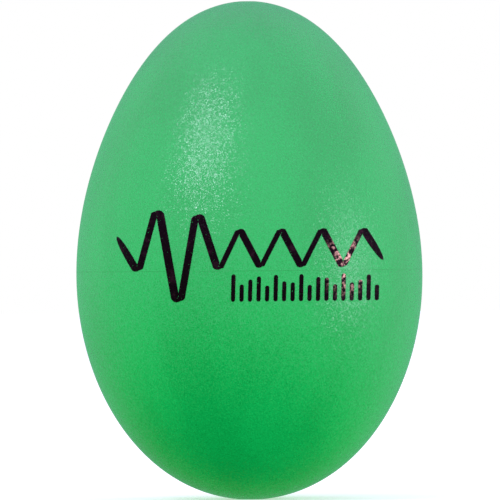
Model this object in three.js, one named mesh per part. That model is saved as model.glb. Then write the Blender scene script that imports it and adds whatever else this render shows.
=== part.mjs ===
// Egg shaker: two moulded plastic half shells, joined round their rims by a tongue in a rebate,
// with loose round steel shot lying in the blunt end. Millimetres, +Z up. The origin is the middle
// of the small moulding flat on the blunt end, and the pointed end is on top.

import * as THREE from 'three';

// Driving dimensions
const EGG_LENGTH = 61; // from the moulding flat to the pointed end
const EGG_DIAMETER = 42.4; // at the widest line
const FLAT_DEPTH = 0.08; // how much of the round end the moulding flat takes off
const WALL = 1.8;
const SEAM_HEIGHT = 28; // where the half shells meet
const SEAM_CHAMFER = 0.12; // on both rims, which leaves a fine line round the egg
const TONGUE_LENGTH = 2; // of the pointed shell, down into the blunt shell
const TONGUE_THICKNESS = 0.8;
const TONGUE_CLEARANCE = 0.1; // round the tongue and below it
const SHOT_DIAMETER = 4.5;
const SHOT_COUNT = 56;
const SHOT_SPACING = 0.06; // kept free between two balls
const SHOT_TO_WALL = 0.12; // kept free between a ball and the wall

// How the shot is poured in: in flat layers that lie over each other at first
const POUR_LAYER = 14; // balls in a layer
const POUR_RADIUS = 13; // of a layer
const POUR_HEIGHT = 14; // of the lowest layer
const POUR_STEPS = 3000;
const POUR_SINK = 0.06; // how far each ball sinks in the first step, and less and less after it
const POUR_REST = 0.2; // the share of the steps, at the end, in which the balls only settle

// How finely the round shapes are faceted
const SEGMENTS_AROUND = 48;
const BLUNT_ROWS = 16;
const POINTED_ROWS = 18;
const SHOT_DETAIL = 1;

const greenPlastic = new THREE.MeshStandardMaterial({ color: 0x2fae62, roughness: 0.5, metalness: 0 });
const shotSteel = new THREE.MeshStandardMaterial({ color: 0xb9bcc0, roughness: 0.25, metalness: 1 });

// The egg's outline. An angle of 0 is the blunt pole and an angle of PI the pointed one. It is an
// ellipse whose width is multiplied by a fullness that falls from the blunt end to the pointed end.
const FULL_LENGTH = EGG_LENGTH + FLAT_DEPTH;

function fullness(u) {
  return 0.9948 - 0.1077 * u - 0.0468 * u ** 2 + 0.0311 * u ** 3 + 0.0594 * u ** 4;
}

function outline(angle) {
  const u = -Math.cos(angle);
  const radius = (EGG_DIAMETER / 2) * Math.sin(angle) * fullness(u);
  return new THREE.Vector2(radius, (FULL_LENGTH / 2) * (1 + u) - FLAT_DEPTH);
}

// The unit vector that points out of the egg at an angle of its outline.
function outward(angle) {
  const step = 1e-4;
  const along = outline(angle + step).sub(outline(angle - step)).normalize();
  return new THREE.Vector2(along.y, -along.x);
}

// The outline moved inwards by a depth, which is 0 for the outer surface and WALL for the inner one.
function inset(angle, depth) {
  return outline(angle).addScaledVector(outward(angle), -depth);
}

// The angle at which the outline, moved inwards by a depth, reaches a height.
function angleAt(height, depth) {
  let low = 0;
  let high = Math.PI;
  for (let halving = 0; halving < 40; halving += 1) {
    const middle = (low + high) / 2;
    if (inset(middle, depth).y < height) low = middle;
    else high = middle;
  }
  return (low + high) / 2;
}

// Points of the outline from one angle to another, both included.
function stretch(from, to, depth, rows) {
  const points = [];
  for (let row = 0; row <= rows; row += 1) {
    points.push(inset(from + ((to - from) * row) / rows, depth));
  }
  return points;
}

// Radii of the joint between the two shells, from the outside in.
const seamRadius = inset(angleAt(SEAM_HEIGHT, 0), 0).x;
const innerRadius = inset(angleAt(SEAM_HEIGHT, WALL), WALL).x;
const tongueRadius = innerRadius + TONGUE_THICKNESS;
const rebateRadius = tongueRadius + TONGUE_CLEARANCE;
const rebateHeight = SEAM_HEIGHT - TONGUE_LENGTH;
const tongueTip = rebateHeight + TONGUE_CLEARANCE;

function turned(profile) {
  const geometry = new THREE.LatheGeometry(profile, SEGMENTS_AROUND);
  geometry.rotateX(Math.PI / 2);
  return geometry;
}

function onAxis(points, index) {
  points.at(index).x = 0;
  return points;
}

function bluntShell() {
  const outside = stretch(angleAt(0, 0), angleAt(SEAM_HEIGHT - SEAM_CHAMFER, 0), 0, BLUNT_ROWS);
  const inside = onAxis(stretch(angleAt(rebateHeight, WALL), 0, WALL, BLUNT_ROWS), -1);
  return turned([
    new THREE.Vector2(0, 0),
    ...outside,
    new THREE.Vector2(seamRadius - SEAM_CHAMFER, SEAM_HEIGHT),
    new THREE.Vector2(rebateRadius, SEAM_HEIGHT),
    new THREE.Vector2(rebateRadius, rebateHeight),
    ...inside,
  ]);
}

function pointedShell() {
  const inside = onAxis(stretch(Math.PI, angleAt(tongueTip, WALL), WALL, POINTED_ROWS), 0);
  const outside = stretch(angleAt(SEAM_HEIGHT + SEAM_CHAMFER, 0), Math.PI, 0, POINTED_ROWS);
  return turned([
    ...inside,
    new THREE.Vector2(tongueRadius, tongueTip),
    new THREE.Vector2(tongueRadius, SEAM_HEIGHT),
    new THREE.Vector2(seamRadius - SEAM_CHAMFER, SEAM_HEIGHT),
    ...onAxis(outside, -1),
  ]);
}

// The room for the middle of a ball: the outline moved in by the wall, the ball and its clearance.
const SHOT_INSET = WALL + SHOT_DIAMETER / 2 + SHOT_TO_WALL;
const SHOT_PITCH = SHOT_DIAMETER + SHOT_SPACING;
const WALL_SAMPLES = 180;
const wallPoints = stretch(0, Math.PI, 0, WALL_SAMPLES);
const wallNormals = wallPoints.map((point, row) => outward((Math.PI * row) / WALL_SAMPLES));

// Moves a ball's middle back into its room, straight away from the nearest place on the wall.
function keepInside(ball) {
  const place = new THREE.Vector2(Math.hypot(ball.x, ball.y), ball.z);
  let nearest = 0;
  for (let row = 1; row <= WALL_SAMPLES; row += 1) {
    const closer = place.distanceToSquared(wallPoints[row]) < place.distanceToSquared(wallPoints[nearest]);
    if (closer) nearest = row;
  }
  const normal = wallNormals[nearest];
  const depth = normal.dot(wallPoints[nearest]) - normal.dot(place);
  const push = Math.max(0, SHOT_INSET - depth);
  const bearing = Math.atan2(ball.y, ball.x);
  ball.x -= push * normal.x * Math.cos(bearing);
  ball.y -= push * normal.x * Math.sin(bearing);
  ball.z -= push * normal.y;
}

function pushApart(one, other) {
  const gap = other.clone().sub(one);
  const overlap = SHOT_PITCH - gap.length();
  if (overlap <= 0) return;
  gap.setLength(overlap / 2);
  one.sub(gap);
  other.add(gap);
}

// A ball's place before it falls, on a sunflower spiral in its layer.
function pourPlace(index) {
  const goldenAngle = Math.PI * (3 - Math.sqrt(5));
  const reach = POUR_RADIUS * Math.sqrt((index % POUR_LAYER) / POUR_LAYER);
  const turn = index * goldenAngle;
  const height = POUR_HEIGHT + SHOT_PITCH * Math.floor(index / POUR_LAYER);
  return new THREE.Vector3(reach * Math.cos(turn), reach * Math.sin(turn), height);
}

// Pours the shot in: at every step the balls sink a little, and are pushed off each other and off
// the wall, until they lie as a heap in the blunt end. The highest comes first in the list.
function pouredShot() {
  const balls = Array.from({ length: SHOT_COUNT }, (_, index) => pourPlace(index));
  for (let step = 0; step < POUR_STEPS; step += 1) {
    const sink = POUR_SINK * Math.max(0, 1 - step / (POUR_STEPS * (1 - POUR_REST)));
    for (const ball of balls) ball.z -= sink;
    for (let one = 0; one < SHOT_COUNT; one += 1) {
      for (let other = one + 1; other < SHOT_COUNT; other += 1) pushApart(balls[one], balls[other]);
    }
    balls.forEach(keepInside);
  }
  return balls.sort((one, other) => other.z - one.z);
}

// The highest a ball's middle can go straight up before the wall stops it.
function ceilingOver(ball) {
  const reach = Math.hypot(ball.x, ball.y);
  let low = Math.PI / 2;
  let high = Math.PI;
  for (let halving = 0; halving < 40; halving += 1) {
    const middle = (low + high) / 2;
    if (inset(middle, SHOT_INSET).x > reach) low = middle;
    else high = middle;
  }
  return inset(low, SHOT_INSET).y;
}

// How far up each ball flies when the egg is jerked down. The balls come highest first, and each
// goes up to the wall, or until it meets one that was above it.
function throws(balls) {
  const landed = [];
  for (const ball of balls) {
    let top = ceilingOver(ball);
    for (const above of landed) {
      const aside = Math.hypot(above.x - ball.x, above.y - ball.y);
      if (aside < SHOT_PITCH) top = Math.min(top, above.z - Math.sqrt(SHOT_PITCH ** 2 - aside ** 2));
    }
    landed.push(new THREE.Vector3(ball.x, ball.y, top));
  }
  return landed.map((place, index) => place.z - balls[index].z);
}

function piece(name, geometry, material) {
  const mesh = new THREE.Mesh(geometry, material);
  mesh.name = name;
  return mesh;
}

const eggShaker = new THREE.Group();
eggShaker.add(piece('blunt_shell', bluntShell(), greenPlastic));
eggShaker.add(piece('pointed_shell', pointedShell(), greenPlastic));

const shot = pouredShot();
const rises = throws(shot);
shot.forEach((place, index) => {
  const geometry = new THREE.IcosahedronGeometry(SHOT_DIAMETER / 2, SHOT_DETAIL);
  const ball = piece(`shot_${String(index + 1).padStart(2, '0')}`, geometry, shotSteel);
  ball.position.copy(place);
  ball.userData.throwHeight = rises[index];
  eggShaker.add(ball);
});

export default eggShaker;
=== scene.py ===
# %% [markdown]
# # An egg shaker
# An egg shaker is a hollow plastic egg with loose steel shot in it. A player closes a hand round it
# and shakes, and the shot rattles from one end to the other.
#
# The scene starts from a fixed frame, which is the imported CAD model: two half shells, and every ball
# in its place. The frame decides all sizes and places. Everything below only decides how fine the
# surfaces are and what they look like.

# %% Load the frame
import math

import bmesh
import bpy
from mathutils import Euler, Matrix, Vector, noise


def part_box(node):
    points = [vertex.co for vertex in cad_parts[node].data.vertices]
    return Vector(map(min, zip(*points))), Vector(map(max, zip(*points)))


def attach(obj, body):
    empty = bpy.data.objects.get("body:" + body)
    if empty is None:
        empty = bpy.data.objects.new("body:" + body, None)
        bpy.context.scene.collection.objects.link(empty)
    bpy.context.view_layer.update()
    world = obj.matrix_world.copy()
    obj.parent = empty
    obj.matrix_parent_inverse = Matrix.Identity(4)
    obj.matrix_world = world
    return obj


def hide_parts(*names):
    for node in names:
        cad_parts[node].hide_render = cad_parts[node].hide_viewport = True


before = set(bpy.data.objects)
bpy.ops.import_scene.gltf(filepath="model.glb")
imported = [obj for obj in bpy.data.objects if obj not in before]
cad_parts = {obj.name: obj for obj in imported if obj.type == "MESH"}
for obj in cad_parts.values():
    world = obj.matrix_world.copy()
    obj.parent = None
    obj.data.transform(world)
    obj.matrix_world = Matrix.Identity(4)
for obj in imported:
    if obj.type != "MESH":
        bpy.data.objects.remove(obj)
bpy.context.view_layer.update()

MM = 0.001
blunt_low, blunt_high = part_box("blunt_shell")
pointed_low, pointed_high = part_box("pointed_shell")
egg_radius = blunt_high.x
egg_length = pointed_high.z
seam_height = blunt_high.z
tongue_tip = pointed_low.z
shot_names = sorted(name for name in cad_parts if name.startswith("shot_"))
print(f"egg {egg_length / MM:.1f} mm long, {2 * egg_radius / MM:.1f} mm across, {len(shot_names)} balls")

# %% [markdown]
# ## The outline
# The egg is a turned shape, so one curve describes it. Bezier handles could draw that curve, but a
# formula is easier to check: it is an ellipse whose width is multiplied by a fullness that falls from
# the blunt end to the pointed end. The CAD shells use the same formula with few facets, and here it is
# sampled finely. An angle of 0 is the blunt pole and an angle of pi the pointed one.

# %% The egg's outline
FLAT_DEPTH = 0.08 * MM  # how much of the round end the moulding flat takes off
HALVINGS = 40  # of an interval of angles, which finds an angle to the last digit
full_length = egg_length + FLAT_DEPTH


def fullness(u):
    """The egg's width beside that of the ellipse. u is -1 at the blunt pole and 1 at the pointed one."""
    return 0.9948 - 0.1077 * u - 0.0468 * u**2 + 0.0311 * u**3 + 0.0594 * u**4


def outline(angle):
    """The point (radius, height) of the outline at an angle."""
    u = -math.cos(angle)
    radius = egg_radius * math.sin(angle) * fullness(u)
    return Vector((radius, full_length / 2 * (1 + u) - FLAT_DEPTH))


def outward(angle):
    """The unit vector (along the radius, up) that points out of the egg at an angle."""
    step = 1e-4
    along = (outline(angle + step) - outline(angle - step)).normalized()
    return Vector((along.y, -along.x))


def inset(angle, depth):
    """The point at a depth under the outline."""
    return outline(angle) - depth * outward(angle)


def angle_at(height, depth=0.0):
    """The angle at which the outline, moved in by a depth, reaches a height."""
    low, high = 0.0, math.pi
    for _ in range(HALVINGS):
        middle = (low + high) / 2
        if inset(middle, depth).y < height:
            low = middle
        else:
            high = middle
    return (low + high) / 2


def curve(start, end, depth, rows):
    """Points of the outline, moved in by a depth, from one angle to another."""
    return [inset(start + (end - start) * row / rows, depth) for row in range(rows + 1)]


widest = max((outline(k / 100) for k in range(314)), key=lambda point: point.x)
print(f"the widest line is {widest.y / MM:.1f} mm up")

# %% [markdown]
# ## Turning a shell
# Blender has a Screw modifier that turns a profile, but building the rings in bmesh keeps full control
# over the poles, where a ring shrinks to one vertex, and over which faces take which finish. A profile
# is a list of stretches. Each has its points and the number of the material that its faces get.

# %% Turn a profile about the egg's axis
COLUMNS = 192
SHARP_ANGLE = math.radians(35)


def ring(shape, point):
    """One vertex on the axis, or a ring of vertices round it."""
    if point.x < 1e-9:
        return [shape.verts.new((0, 0, point.y))]
    turns = [math.tau * k / COLUMNS for k in range(COLUMNS)]
    return [shape.verts.new((point.x * math.cos(t), point.x * math.sin(t), point.y)) for t in turns]


def bridge(shape, first, second, finish):
    """Faces between two rings, or between a ring and a pole."""
    for k in range(COLUMNS):
        after = (k + 1) % COLUMNS
        if len(first) == 1:
            corners = [first[0], second[after], second[k]]
        elif len(second) == 1:
            corners = [first[k], first[after], second[0]]
        else:
            corners = [first[k], first[after], second[after], second[k]]
        shape.faces.new(corners).material_index = finish


def turn(name, stretches, materials):
    """A closed turned mesh. Each stretch starts at the point where the one before it ended."""
    shape = bmesh.new()
    last = ring(shape, stretches[0][0][0])
    for points, finish in stretches:
        for point in points[1:]:
            new = ring(shape, point)
            bridge(shape, last, new, finish)
            last = new
    return finished(name, shape, materials)


def finished(name, shape, materials):
    """Turns a bmesh into an object, smooth but for its sharp edges."""
    bmesh.ops.remove_doubles(shape, verts=shape.verts, dist=1e-8)
    bmesh.ops.recalc_face_normals(shape, faces=shape.faces)
    mesh = bpy.data.meshes.new(name)
    shape.to_mesh(mesh)
    shape.free()
    mesh.shade_smooth()
    mesh.set_sharp_from_angle(angle=SHARP_ANGLE)
    for material in materials:
        mesh.materials.append(material)
    piece = bpy.data.objects.new(name, mesh)
    bpy.context.scene.collection.objects.link(piece)
    return piece


print(f"a ring has {COLUMNS} vertices, at most {math.tau * egg_radius / COLUMNS / MM:.2f} mm apart")

# %% [markdown]
# ## Shader maths in Python
# A material is a graph of nodes, and long graphs are hard to read as code. This small class wraps one
# socket. Arithmetic on it adds Math nodes, so that `0.4 + 0.1 * grain` means what it says, and `node`
# adds any other node: its settings first, then the values or links of its sockets.

# %% A socket with arithmetic
class Shade:
    """A socket in a material's tree, or only the tree when the socket is left out."""

    def __init__(self, tree, socket=None):
        self.tree = tree
        self.socket = socket

    def node(self, kind, settings=None, inputs=None, output=0):
        node = self.tree.nodes.new("ShaderNode" + kind)
        for name, value in (settings or {}).items():
            setattr(node, name, value)
        for name, value in (inputs or {}).items():
            self.feed(node, name, value)
        return Shade(self.tree, node.outputs[output])

    def feed(self, node, name, value):
        """Links a Shade to a node's socket, or sets the socket to a plain value."""
        if isinstance(value, Shade):
            self.tree.links.new(value.socket, node.inputs[name])
        else:
            node.inputs[name].default_value = value

    def math(self, operation, *terms):
        return self.node("Math", {"operation": operation}, dict(enumerate(terms)))

    def __add__(self, other):
        return self.math("ADD", self, other)

    def __sub__(self, other):
        return self.math("SUBTRACT", self, other)

    def __rsub__(self, other):
        return self.math("SUBTRACT", other, self)

    def __mul__(self, other):
        return self.math("MULTIPLY", self, other)

    def __abs__(self):
        return self.math("ABSOLUTE", self)

    __radd__ = __add__
    __rmul__ = __mul__

    def step(self, low, high):
        """0 where this is below low, 1 where it is above high, and a soft step between them."""
        span = {"Value": self, "From Min": low, "From Max": high}
        return self.node("MapRange", {"interpolation_type": "SMOOTHSTEP"}, span)

    def mix(self, below, above):
        """A colour: below where this is 0, and above where it is 1."""
        return self.node("Mix", {"data_type": "RGBA"}, {0: self, 6: below, 7: above}, output=2)


print("Shade wraps one socket, and its arithmetic adds nodes")

# %% [markdown]
# ## Starting a material
# Every finish begins alike: a new material, the Principled shader that Blender puts in it, and a Shade
# to build on. Two short functions save repeating that, and say how long each graph became.

# %% Start a finish, and say what it became
def new_finish(name):
    """A new material, a Shade to start its maths from, and its Principled shader."""
    material = bpy.data.materials.new(name)
    material.use_nodes = True
    tree = material.node_tree
    return material, Shade(tree), tree.nodes["Principled BSDF"]


def tell(material):
    """Says how many nodes a finish took."""
    print(f"{material.name}: {len(material.node_tree.nodes)} nodes")


# %% [markdown]
# ## Spark-textured plastic
# The mould of such an egg is finished by spark erosion, which covers it with craters about a tenth of
# a millimetre across, and the plastic copies them. From a distance the egg looks matt, and only where
# it mirrors a lamp does the texture show, as a cloud of tiny sparkles. Displacing vertices that finely
# would need millions of them, and a bump of smooth noise gives leather instead of sparkles. So each
# cell of a Voronoi texture leans the normal its own way, as a crater's wall does.

# %% The texture that plastic and foil share
CRATER = 0.12 * MM
CRATER_LEAN = 0.31  # the whole range of a crater's lean along each axis, as a slope
GRIT_SIZE = 0.15 * MM
GRIT_DEPTH = 0.010 * MM


def soft_noise(start, size, detail=2.0, stretch=(1, 1, 1)):
    """Noise from 0 to 1 whose patches have a size in metres."""
    place = start.node("TexCoord", output="Object")
    longer = start.node("Mapping", {}, {"Vector": place, "Scale": stretch})
    return start.node("TexNoise", {}, {"Vector": longer, "Scale": 1 / size, "Detail": detail})


def crater_normal(start):
    """The surface's normal, leant its own way in each crater."""
    place = start.node("TexCoord", output="Object")
    ways = start.node("TexVoronoi", {}, {"Vector": place, "Scale": 1 / CRATER}, output="Color")
    inputs = {0: ways, 1: [CRATER_LEAN] * 3, 2: [-CRATER_LEAN / 2] * 3}
    aside = start.node("VectorMath", {"operation": "MULTIPLY_ADD"}, inputs)
    straight = start.node("NewGeometry", output="Normal")
    leant = start.node("VectorMath", {"operation": "ADD"}, {0: straight, 1: aside})
    return start.node("VectorMath", {"operation": "NORMALIZE"}, {0: leant})


def rough_surface(start, height, depth, below=None):
    """The normal of a surface with a height from 0 to 1, scaled to a depth in metres."""
    inputs = {"Height": height, "Distance": depth, "Strength": 1.0}
    if below is not None:
        inputs["Normal"] = below
    return start.node("Bump", {}, inputs)


print(f"craters {CRATER / MM:.2f} mm across lean up to {math.degrees(CRATER_LEAN / 2):.0f} degrees each way")

# %% [markdown]
# ## The outside of the shells
# The pigment isn't perfectly mixed, so the green drifts slowly along the flow of the plastic and varies
# from grain to grain. Hands polish it unevenly, and a little dirt sits in the line where the halves
# meet. One flat colour would look like paint on a screen. So noises of several sizes vary the colour
# and the roughness, from grains of a sixth of a millimetre to flow marks of nine.

# %% The outside of the shells
PLASTIC_GREEN = (0.0016, 0.385, 0.073, 1)
PLASTIC_PALE = (0.0034, 0.505, 0.102, 1)
SEAM_DIRT = (0.0028, 0.415, 0.079, 1)
DIRT_CORE, DIRT_EDGE = 0.02 * MM, 0.08 * MM  # how far from the seam the dirt starts to fade, and ends
PEEL_SIZE, PEEL_DEPTH = 3.2 * MM, 0.010 * MM  # of the slight waves that cooling leaves
GLOSS = 1.0  # a dense moulded skin reflects twice as much as Blender's usual surface


def spark_green():
    """Green plastic with a spark texture, slight flow marks, glossier patches and dirt in the seam."""
    material, start, shader = new_finish("green_plastic")
    grit = soft_noise(start, GRIT_SIZE, detail=1.0)
    flow = soft_noise(start, 9 * MM, stretch=(1, 1, 0.35)).step(0.3, 0.7)
    patches = soft_noise(start, 0.9 * MM).step(0.3, 0.7)
    rubs = soft_noise(start, 1.6 * MM, detail=5.0, stretch=(1, 1, 4)).step(0.62, 0.74)
    height = start.node("SeparateXYZ", {}, {"Vector": start.node("TexCoord", output="Object")}, "Z")
    dirt = 1 - abs(height - seam_height).step(DIRT_CORE, DIRT_EDGE)
    colour = (0.5 * flow + 2.6 * grit - 1.05).mix(PLASTIC_GREEN, PLASTIC_PALE)
    start.feed(shader, "Base Color", dirt.mix(colour, SEAM_DIRT))
    start.feed(shader, "Roughness", 0.21 + 0.07 * patches + 0.03 * flow - 0.04 * rubs)
    start.feed(shader, "Specular IOR Level", GLOSS)
    waves = soft_noise(start, PEEL_SIZE)
    peel = rough_surface(start, waves, PEEL_DEPTH, below=crater_normal(start))
    start.feed(shader, "Normal", rough_surface(start, grit, GRIT_DEPTH, below=peel))
    return material


green_outside = spark_green()
tell(green_outside)

# %% [markdown]
# ## The inside of the shells
# The core of the mould is polished, so the inside is smoother than the outside, with fine rings from
# the lathe. Steel shot has rubbed grey marks on it. The rings are a noise stretched round the axis, and
# the marks a rough noise cut off high, which is simpler than painting a mask that nobody sees closely.

# %% The inside of the shells
INSIDE_GREEN = (0.006, 0.36, 0.06, 1)
SHOT_RUB = (0.06, 0.16, 0.09, 1)


def polished_green():
    """The smoother plastic of the inside, with grey marks where the shot has rubbed."""
    material, start, shader = new_finish("green_plastic_inside")
    scuffs = soft_noise(start, 1.1 * MM, detail=6.0).step(0.5, 0.68)
    turning = soft_noise(start, 0.5 * MM, detail=1.0, stretch=(0.05, 0.05, 1))
    start.feed(shader, "Base Color", scuffs.mix(INSIDE_GREEN, SHOT_RUB))
    start.feed(shader, "Roughness", 0.28 + 0.3 * scuffs)
    start.feed(shader, "Normal", rough_surface(start, turning + 0.6 * scuffs, 0.008 * MM))
    return material


green_inside = polished_green()
tell(green_inside)

# %% [markdown]
# ## The two half shells
# The pointed half carries a thin tongue that sits in a rebate of the blunt half, and the two are
# welded there. From outside only a hairline shows, because both rims have a tiny rounded edge. A
# painted line alone would look flat, so the groove is real, and the finish only adds a trace of dirt.

# %% The joint and the rims
WALL = 1.8 * MM
TONGUE = 0.8 * MM
CLEARANCE = 0.1 * MM
EDGE_ROUND = 0.007 * MM  # of both rims, where they meet
TIP_BEVEL = 0.2 * MM
RIM_STEPS = 4
OUTER_ROWS, INNER_ROWS = 120, 60
OUTSIDE, INSIDE = 0, 1  # the numbers of the shells' two materials

seam_radius = outline(angle_at(seam_height)).x
inner_radius = inset(angle_at(seam_height, WALL), WALL).x
tongue_radius = inner_radius + TONGUE
rebate_radius = tongue_radius + CLEARANCE
rebate_floor = tongue_tip - CLEARANCE


def rim_edge(side):
    """The rounded edge of a rim, from the outline to the flat of the rim. side is -1 below the seam."""
    turns = [math.pi / 2 * k / RIM_STEPS for k in range(RIM_STEPS + 1)]
    middle = Vector((seam_radius - EDGE_ROUND, seam_height + side * EDGE_ROUND))
    return [middle + EDGE_ROUND * Vector((math.cos(t), -side * math.sin(t))) for t in turns]


print(f"the seam is {seam_height / MM:.1f} mm up")
print(f"the tongue is {(seam_height - tongue_tip) / MM:.1f} mm long")

# %% [markdown]
# ## The gates
# Each half was filled with plastic through a gate at its pole. The runner is torn off there, which
# leaves a small dimple with a stub in it. As the egg is turned anyway, the dimple is only a few more
# points at the start of a profile, and needs no cutting tool.

# %% A gate's dimple
DIMPLE = [  # its radius in mm, and how much of its full depth it has there
    (0, 0.5),
    (0.38, 0.5),
    (0.45, 0.6),
    (0.45, 1.0),
    (0.8, 1.0),
    (0.92, 0.7),
    (1.0, 0.1),
    (1.08, 0),
]
BLUNT_DIMPLE, POINTED_DIMPLE = 0.22 * MM, 0.12 * MM


def gate_dimple(pole, into, depth):
    """A gate's dimple with the runner's stub in it, from the axis to its rim. into is the way inside."""
    return [Vector((radius * MM, pole + into * share * depth)) for radius, share in DIMPLE]


print(f"the dimples are {2 * DIMPLE[-1][0]:.1f} mm across")

# %% [markdown]
# ## The profiles
# Each profile runs once round the cut plastic: dimple, outside, rim, joint and inside. The outside and
# the inside take different finishes, so a profile is given as two stretches.

# %% The profile of each half
def blunt_profile():
    """From the gate up the outside, over the rim and rebate, and down the inside."""
    flat_edge = angle_at(0)
    dimple = gate_dimple(0, 1, BLUNT_DIMPLE)
    outer = curve(flat_edge, angle_at(seam_height - EDGE_ROUND), 0, OUTER_ROWS)
    rim = [Vector((rebate_radius, seam_height)), Vector((rebate_radius, rebate_floor))]
    inner = curve(angle_at(rebate_floor, WALL), 0, WALL, INNER_ROWS)
    inner[-1].x = 0
    return [(dimple + outer, OUTSIDE), (outer[-1:] + rim_edge(-1) + rim + inner, INSIDE)]


def pointed_profile():
    """From the top of the inside down to the tongue, over the rim, and up the outside to the gate."""
    inner = curve(math.pi, angle_at(tongue_tip + TIP_BEVEL, WALL), WALL, INNER_ROWS)
    inner[0].x = 0
    tip = [
        Vector((inner_radius + TIP_BEVEL, tongue_tip)),
        Vector((tongue_radius - TIP_BEVEL, tongue_tip)),
        Vector((tongue_radius, tongue_tip + TIP_BEVEL)),
        Vector((tongue_radius, seam_height)),
    ]
    dimple = gate_dimple(egg_length, -1, POINTED_DIMPLE)
    top = math.pi - math.asin(dimple[-1].x / egg_radius / fullness(1))
    outer = curve(angle_at(seam_height + EDGE_ROUND), top, 0, OUTER_ROWS)
    drop = outer[-1].y - egg_length
    sunk = [point + Vector((0, drop)) for point in reversed(dimple)]
    return [(inner + tip + rim_edge(1)[::-1], INSIDE), (rim_edge(1)[:1] + outer + sunk, OUTSIDE)]


print(f"blunt profile: {sum(len(points) for points, finish in blunt_profile())} points")

# %% [markdown]
# ## Turning both halves
# Each moulding stands for one shell of the frame, so it hides that shell and rides on the same body.

# %% Turn both halves
shell_materials = [green_outside, green_inside]
blunt_moulding = turn("blunt_moulding", blunt_profile(), shell_materials)
pointed_moulding = turn("pointed_moulding", pointed_profile(), shell_materials)
for moulding, node in ((blunt_moulding, "blunt_shell"), (pointed_moulding, "pointed_shell")):
    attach(moulding, "egg")
    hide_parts(node)
    print(f"{moulding.name}: {len(moulding.data.polygons)} faces")

# %% [markdown]
# ## The foil print
# The front carries a hot-stamped mark: a heated die presses a thin black foil onto the plastic. Here
# it is a plain pattern, the trace of one shake as a recorder would draw it, over a row of level bars.
# A painted mask would have soft edges and no thickness, so the film is a closed mesh that follows the
# egg, a few hundredths of a millimetre proud of it.

# %% A film that follows the egg
FILM = 0.03 * MM
FILM_COLUMNS = 4


def on_front(across, height, lift):
    """The point of the front of the egg at a distance across and a height, lifted off the surface."""
    angle = angle_at(height)
    radius = outline(angle).x
    out = outward(angle)
    back = math.sqrt(1 - (across / radius) ** 2)
    normal = Vector((out.x * across / radius, -out.x * back, out.y))
    return Vector((across, -radius * back, height)) + lift * normal


def film_layer(shape, path, lift):
    """One side of a ribbon. Each row of the path is its middle, its direction and its width."""
    rows = []
    for middle, direction, width in path:
        side = Vector((math.sin(direction), -math.cos(direction))) * width / 2
        shares = [k / FILM_COLUMNS for k in range(-FILM_COLUMNS, FILM_COLUMNS + 1)] if width else [0]
        points = [middle + share * side for share in shares]
        rows.append([shape.verts.new(on_front(point.x, point.y, lift)) for point in points])
    return rows


def strip(shape, lower, upper):
    """Faces between two rows of vertices, either of which may be a single one."""
    for k in range(max(len(lower), len(upper)) - 1):
        corners = [lower[min(k, len(lower) - 1)], lower[min(k + 1, len(lower) - 1)]]
        corners += [upper[min(k + 1, len(upper) - 1)], upper[min(k, len(upper) - 1)]]
        shape.faces.new(dict.fromkeys(corners))


def round_end(share):
    """The width of a rounded end, from 0 at its tip to 1 where it has its full width."""
    return math.sqrt(max(0.0, 1 - (1 - min(1.0, share)) ** 2))


def add_ribbon(shape, path):
    """Adds a closed film along a path whose two ends come to a point."""
    top = film_layer(shape, path, FILM)
    bottom = film_layer(shape, path, -FILM)
    for layer in (top, bottom):
        for lower, upper in zip(layer, layer[1:]):
            strip(shape, lower, upper)
    for side in (0, -1):
        for k in range(len(top) - 1):
            corners = [top[k][side], top[k + 1][side], bottom[k + 1][side], bottom[k][side]]
            shape.faces.new(dict.fromkeys(corners))


print(f"a film of {FILM / MM:.2f} mm, {2 * FILM_COLUMNS} faces wide")

# %% [markdown]
# ## The foil's finish
# Stamping foil is a thin film with a shine of metal. It takes on the texture under it and misses a
# pinhole here and there. One spot, where the side light mirrors, is painted a bright copper that
# strengthens the glint there: a painted glint. The film could be plain black plastic, but then it would
# never flash when it faces a lamp.

# %% The foil's finish
FOIL_BLACK = (0.012, 0.005, 0.009, 1)
FOIL_PLUM = (0.045, 0.014, 0.026, 1)
FOIL_GLINT_ROSE = (0.72, 0.36, 0.30, 1)  # a bright copper, painted where the side light's glint falls on the print
GLINT_SPOT = (11.6 * MM, -17.5 * MM, 28.6 * MM)
GLINT_CORE, GLINT_EDGE = 1.2 * MM, 4.4 * MM  # how far from its middle the painted glint starts to fade, and ends


def black_foil():
    """Dark metallic foil over the plastic's texture, with a painted copper glint in one spot and a few
    pinholes.
    """
    material, start, shader = new_finish("black_foil")
    grit = soft_noise(start, GRIT_SIZE, detail=1.0)
    clouds = soft_noise(start, 1.2 * MM, detail=4.0).step(0.50, 0.80)
    place = start.node("TexCoord", output="Object")
    away = start.node("VectorMath", {"operation": "DISTANCE"}, {0: place, 1: GLINT_SPOT}, output="Value")
    flecks = soft_noise(start, 0.45 * MM, detail=3.0).step(0.44, 0.60)
    # The copper spot is a painted glint, set where the side light mirrors on the print.
    painted_glint = flecks * (1 - away.step(GLINT_CORE, GLINT_EDGE))
    holes = soft_noise(start, 0.16 * MM, detail=1.0).step(0.75, 0.79)
    colour = painted_glint.mix(clouds.mix(FOIL_BLACK, FOIL_PLUM), FOIL_GLINT_ROSE)
    start.feed(shader, "Base Color", holes.mix(colour, PLASTIC_GREEN))
    start.feed(shader, "Metallic", 1 - holes)
    start.feed(shader, "Roughness", 0.22 + 0.12 * grit)
    start.feed(shader, "Normal", rough_surface(start, grit, GRIT_DEPTH, below=crater_normal(start)))
    return material


foil = black_foil()
tell(foil)

# %% [markdown]
# ## The trace of a shake
# The trace is a zigzag that is loud at first and then settles. A hand-placed Bezier curve would do,
# but a rule is easier to change: the bends are spaced evenly, a bell curve sets how far each reaches,
# and straight legs join them. The line is as wide as a broad nib makes it, which depends on its slope.

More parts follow.
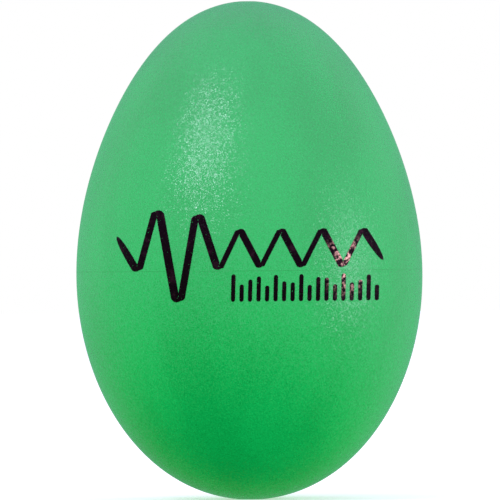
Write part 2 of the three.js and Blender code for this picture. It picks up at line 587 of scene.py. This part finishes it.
# %% Draw the trace of a shake
PRINT_HEIGHT = 30.7 * MM  # of the trace's middle line
PRINT_LEFT, PRINT_RIGHT = -16.0 * MM, 16.2 * MM
SWINGS = 13
LOUDEST_AT, LOUD_SPREAD = -8.8 * MM, 3.0 * MM  # the bell curve's middle and its spread
QUIET_REACH, LOUD_REACH = 1.55 * MM, 4.1 * MM  # of every swing, and what the loudest adds to it
BEND = 0.42 * MM
BEND_STEPS = 12
NIB_THIN, NIB_THICK = 0.50 * MM, 1.0 * MM
NIB_ANGLE = math.radians(20)
NIB_END = 0.03  # how much of the trace each of its pointed ends takes


def swing_point(index):
    """The middle of the bend that ends a swing: loud near the left, and quieter to the right."""
    across = PRINT_LEFT + (PRINT_RIGHT - PRINT_LEFT) * index / SWINGS
    loud = math.exp(-(((across - LOUDEST_AT) / LOUD_SPREAD) ** 2))
    reach = QUIET_REACH + LOUD_REACH * loud
    return Vector((across, PRINT_HEIGHT + (reach if index % 2 == 0 else -reach)))


def leg_direction(start, end, upward):
    """The direction of the straight leg that touches a bend at each of its ends."""
    way = end - start
    swerve = math.asin(2 * BEND / way.length)
    return math.atan2(way.y, way.x) + (-swerve if upward else swerve)


def nib_width(direction, share):
    """The width of a broad nib's line, which comes to a point at its two ends."""
    width = NIB_THIN + (NIB_THICK - NIB_THIN) * abs(math.sin(direction - NIB_ANGLE))
    return width * round_end(min(share, 1 - share) / NIB_END)


def trace_path():
    """The trace as straight legs joined by round bends."""
    bends = [swing_point(index) for index in range(SWINGS + 1)]
    ways = [leg_direction(bends[k], bends[k + 1], k % 2 == 1) for k in range(SWINGS)]
    places = []
    for k in range(SWINGS - 1):
        turned = -1 if k % 2 == 1 else 1
        for step in range(BEND_STEPS + 1):
            way = ways[k] + (ways[k + 1] - ways[k]) * step / BEND_STEPS
            places.append((bends[k + 1] + turned * BEND * Vector((math.sin(way), -math.cos(way))), way))
    places.insert(0, (bends[0], ways[0]))
    places.append((bends[-1], ways[-1]))
    return places


print(f"the trace has {len(trace_path())} points")

# %% [markdown]
# ## Printing the trace
# The legs are straight on paper but the egg is round, so a long leg with a point only at each end would
# cut through the plastic. The path is therefore cut into short steps, and every point of it is then
# laid on the egg.

# %% Print the trace
TRACE_STEP = 0.3 * MM


def dense(places, step):
    """The path with its long straight legs cut into short steps, and a width for each point."""
    cut = []
    for (first, way), (second, next_way) in zip(places, places[1:]):
        count = max(1, round((second - first).length / step))
        cut += [(first.lerp(second, k / count), way + (next_way - way) * k / count) for k in range(count)]
    cut.append(places[-1])
    last = len(cut) - 1
    return [(middle, way, nib_width(way, k / last)) for k, (middle, way) in enumerate(cut)]


trace_shape = bmesh.new()
add_ribbon(trace_shape, dense(trace_path(), TRACE_STEP))
shake_trace = finished("shake_trace", trace_shape, [foil])
print(f"the film of the trace has {len(shake_trace.data.vertices)} vertices")

# %% [markdown]
# ## The level bars
# Under the trace stands a row of short bars with round ends, as on a level meter. An array of one bar
# would make them all alike, so a loop draws each with its own length.

# %% Print the level bars
BARS = 18
BAR_PITCH = 1.02 * MM
BAR_WIDTH = 0.5 * MM
BAR_LENGTH, BAR_CHANGE = 2.6, 0.7  # in mm: the middle length, and how far the bars differ from it
BAR_RHYTHM = 2.4  # radians from one bar to the next, so that neighbours differ
BAR_ROWS = 16
BAR_SLANT = 0.03
BAR_LEFT, BAR_FOOT = -2.0 * MM, 24.3 * MM
UPWARD = math.pi / 2

bars_shape = bmesh.new()
for bar in range(BARS):
    length = (BAR_LENGTH + BAR_CHANGE * math.cos(bar * BAR_RHYTHM)) * MM
    foot = Vector((BAR_LEFT + bar * BAR_PITCH, BAR_FOOT))
    bar_path = []
    for row in range(BAR_ROWS + 1):
        share = (1 - math.cos(math.pi * row / BAR_ROWS)) / 2
        width = BAR_WIDTH * round_end(min(share, 1 - share) * length / BAR_WIDTH * 2)
        bar_path.append((foot + Vector((BAR_SLANT * length * share, length * share)), UPWARD, width))
    add_ribbon(bars_shape, bar_path)
level_bars = finished("level_bars", bars_shape, [foil])
for print_piece in (shake_trace, level_bars):
    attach(print_piece, "egg")
    print(f"{print_piece.name}: {len(print_piece.data.polygons)} faces")

# %% [markdown]
# ## The shot
# The balls are cheap headed steel: a slug of wire is pressed between two cups, which leaves a faint
# belt round the middle and a small flat at each end, and tumbling leaves shallow dents. A bare sphere
# has none of these, so each ball is shaped in bmesh and then turned at random, from a fixed seed.

# %% The steel's finish
STEEL_BRIGHT = (0.56, 0.56, 0.57, 1)
STEEL_DULL = (0.24, 0.22, 0.20, 1)


def tumbled_steel():
    """Bright steel with dull patches and fine scratches."""
    material, start, shader = new_finish("tumbled_steel")
    dull = soft_noise(start, 1.3 * MM, detail=5.0).step(0.45, 0.75)
    scratches = soft_noise(start, 0.5 * MM, detail=3.0, stretch=(1, 1, 9)).step(0.55, 0.7)
    start.feed(shader, "Base Color", dull.mix(STEEL_BRIGHT, STEEL_DULL))
    start.feed(shader, "Metallic", 1.0)
    start.feed(shader, "Roughness", 0.18 + 0.30 * dull + 0.12 * scratches)
    start.feed(shader, "Normal", rough_surface(start, scratches + dull, 0.004 * MM))
    return material


steel = tumbled_steel()
tell(steel)

# %% [markdown]
# ## Shaping the balls
# Each ball starts as an icosphere, whose faces are all about one size, so it has no poles that would
# show. Its vertices then move in along their own direction, by the belt, the flats and the dents, and
# never out, so that no ball is wider than the frame's own ball is high.

# %% Shape every ball
BELT_WIDTH, BELT_RISE = 0.05, 0.008  # as shares of the radius, like the next three
BODY = 0.992
FLAT_AT = 0.965
DENT = 0.004


def ball_radius_at(way, seed):
    """How far a ball's surface is from its middle, as a share of its radius, in one direction."""
    belt = math.exp(-((way.z / BELT_WIDTH) ** 2))
    flat = min(1.0, FLAT_AT / max(abs(way.z), 1e-6))
    dents = noise.noise(2.2 * way + seed) + 0.5 * noise.noise(5.0 * way - seed)
    return min(1.0, BODY * flat + BELT_RISE * belt + DENT * dents)


def shot_ball(name, index):
    """One ball in place of the frame's, turned its own way."""
    low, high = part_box(name)
    middle, radius = (low + high) / 2, (high - low).z / 2
    seed = Vector((index * 1.7, index * 0.9, index * 2.3))
    lie = Euler((index * 2.399, index * 1.3, 0)).to_matrix()
    shape = bmesh.new()
    bmesh.ops.create_icosphere(shape, subdivisions=4, radius=1)
    for vertex in shape.verts:
        way = vertex.co.normalized()
        vertex.co = middle + lie @ way * radius * ball_radius_at(way, seed)
    ball = finished(name + "_ball", shape, [steel])
    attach(ball, name)
    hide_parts(name)
    return ball


balls = [shot_ball(name, index) for index, name in enumerate(shot_names)]
print(f"{len(balls)} balls, {len(balls[0].data.polygons)} faces each")

# %% [markdown]
# ## The floor
# The egg stands on its flat, on plain white paper. A backdrop could be a curved sweep, but one wide disc
# under a white sky looks the same and has no corner to hide. It gives off some light of its own, so that
# it stays white and the egg throws only a breath of shadow. Rays from the egg don't see it: what the egg
# mirrors and is lit by is all set in the next step, in one place.

# %% The floor
FLOOR_RADIUS = 3.0
FLOOR_GLOW = 0.45
PAPER = (0.88, 0.88, 0.88, 1)


def pale_floor():
    """White paper with a slight tooth."""
    material, start, shader = new_finish("pale_floor")
    tooth = soft_noise(start, 0.4 * MM)
    start.feed(shader, "Base Color", PAPER)
    start.feed(shader, "Roughness", 0.9)
    start.feed(shader, "Emission Color", (1, 1, 1, 1))
    start.feed(shader, "Emission Strength", FLOOR_GLOW)
    start.feed(shader, "Normal", rough_surface(start, tooth, 0.01 * MM))
    return material


floor_shape = bmesh.new()
bmesh.ops.create_circle(floor_shape, cap_ends=True, segments=96, radius=FLOOR_RADIUS)
floor = finished("floor", floor_shape, [pale_floor()])
floor.visible_glossy = False
floor.visible_diffuse = False
floor.visible_shadow = False
print(f"the floor is {2 * FLOOR_RADIUS:.0f} m across")

# %% [markdown]
# ## A white tent
# Small glossy things are often lit inside a tent of white cloth, because they mirror all of it.
# Four sheets of cloth would do, but the world's background can be the tent itself: its colour depends on
# the direction, from a dim green near the table, where the egg's own colour comes back, to a cool
# white above. The cloth behind the egg is dimmer, and it is what the egg's rim mirrors. To the camera
# the background is plain white.

# %% The tent
WHITE = (1, 1, 1, 1)
TENT_COOL = (0.85, 0.73, 1.06, 1)
TENT_BACK = (0.38, 0.52, 0.62, 1)
TENT_LOW = (0.09, 0.38, 0.03, 1)
TENT_GOLD = (0.12, 0.40, 0.06, 1)
TENT_FOOT = (0.005, 0.005, 0.005, 1)
TENT_UP = (0.10, 0.06, 1.0)  # the bright side is a little to the right and behind


def white_tent():
    """The world: bright above, dim and green-gold below, and plain white to the camera."""
    world = bpy.data.worlds.new("white_tent")
    world.use_nodes = True
    start = Shade(world.node_tree)
    background = world.node_tree.nodes["Background"]
    way = start.node("TexCoord", output="Generated")
    up = start.node("VectorMath", {"operation": "DOT_PRODUCT"}, {0: way, 1: TENT_UP}, output="Value")
    light = 0.66 * up.step(-0.75, 0.10) + 0.33 * up.step(-0.20, 1.0)
    low = up.step(-0.95, -0.45).mix(TENT_FOOT, TENT_LOW)
    depth = start.node("SeparateXYZ", {}, {"Vector": way}, "Y")
    glow = depth.step(0.30, 0.80) * up.step(-0.98, -0.70)
    cloth = depth.step(0.45, 1.0).mix(TENT_COOL, TENT_BACK)
    tent = light.mix(glow.mix(low, TENT_GOLD), cloth)
    seen = start.node("LightPath", output="Is Camera Ray")
    start.feed(background, "Color", seen.mix(tent, WHITE))
    return world


bpy.context.scene.world = white_tent()
print(f"the tent: {len(bpy.context.scene.world.node_tree.nodes)} nodes")

# %% [markdown]
# ## The lamps
# Two round soft lamps make the two glints: the key light high on the left, and a side light on the
# right. The other five lamps are the light that paper and cloth throw back. They would show as five
# more glints, so they are hidden from mirror rays, and only the body of the plastic answers to them.

# %% The lamps
LAMP_DISTANCE = 0.7
LAMP_COOL = (0.85, 0.90, 1.10)
FILL_COLOUR = (0.82, 0.90, 0.92)
FILL_SIZE = 0.8
SIDE_POWER, LOW_POWER = 1.4, 3.0
egg_middle = Vector((0, 0, egg_length / 2))


def soft_light(name, towards, size, power, colour, glossy=True):
    """A round soft light in a direction from the egg's middle, aimed at it."""
    lamp = bpy.data.lights.new(name, "AREA")
    lamp.shape = "DISK"
    lamp.size = size
    lamp.energy = power
    lamp.color = colour
    light = bpy.data.objects.new(name, lamp)
    way = Vector(towards).normalized()
    light.location = egg_middle + way * LAMP_DISTANCE
    light.rotation_mode = "QUATERNION"
    light.rotation_quaternion = way.to_track_quat("Z", "Y")
    light.visible_glossy = glossy
    lamp.cycles.use_multiple_importance_sampling = glossy
    bpy.context.scene.collection.objects.link(light)


soft_light("key_light", (-0.46, -0.60, 0.655), 0.20, 0.80, LAMP_COOL)
soft_light("side_light", (0.93, -0.34, 0.02), 0.26, 0.46, LAMP_COOL)
for side, hand in ((-1, "left"), (1, "right")):
    soft_light(f"{hand}_fill", (side, 0, 0.2), FILL_SIZE, SIDE_POWER, FILL_COLOUR, glossy=False)
    soft_light(f"{hand}_back_fill", (side, 1, -0.5), FILL_SIZE, LOW_POWER, FILL_COLOUR, glossy=False)
soft_light("low_fill", (0, -1, -0.6), FILL_SIZE, LOW_POWER, FILL_COLOUR, glossy=False)
print(f"{len(bpy.data.lights)} lamps")

# %% [markdown]
# ## The camera
# The egg is seen straight from the front, at the height of its middle. A long lens from a metre away
# keeps the outline true. The egg is to lean by half a degree in the view. The camera is turned for
# that, and not the egg, which has to stand upright on its flat.

# %% The camera
DISTANCE = 1.0
FIELD = 61.26 * MM  # how wide the view is at the egg
ASIDE = 0.1 * MM
LEAN = math.radians(0.50)
SENSOR = 36.0  # millimetres, as Blender gives a lens

lens = bpy.data.cameras.new("camera")
lens.sensor_width = SENSOR
lens.lens = SENSOR * DISTANCE / FIELD
lens.clip_start, lens.clip_end = 0.1, 10.0
camera = bpy.data.objects.new("camera", lens)
camera.location = egg_middle + Vector((ASIDE, -DISTANCE, 0))
camera.rotation_euler = (math.pi / 2, LEAN, 0)
bpy.context.scene.collection.objects.link(camera)
bpy.context.scene.camera = camera
bpy.context.scene.view_settings.view_transform = "Standard"
print(f"a {lens.lens:.0f} mm lens")
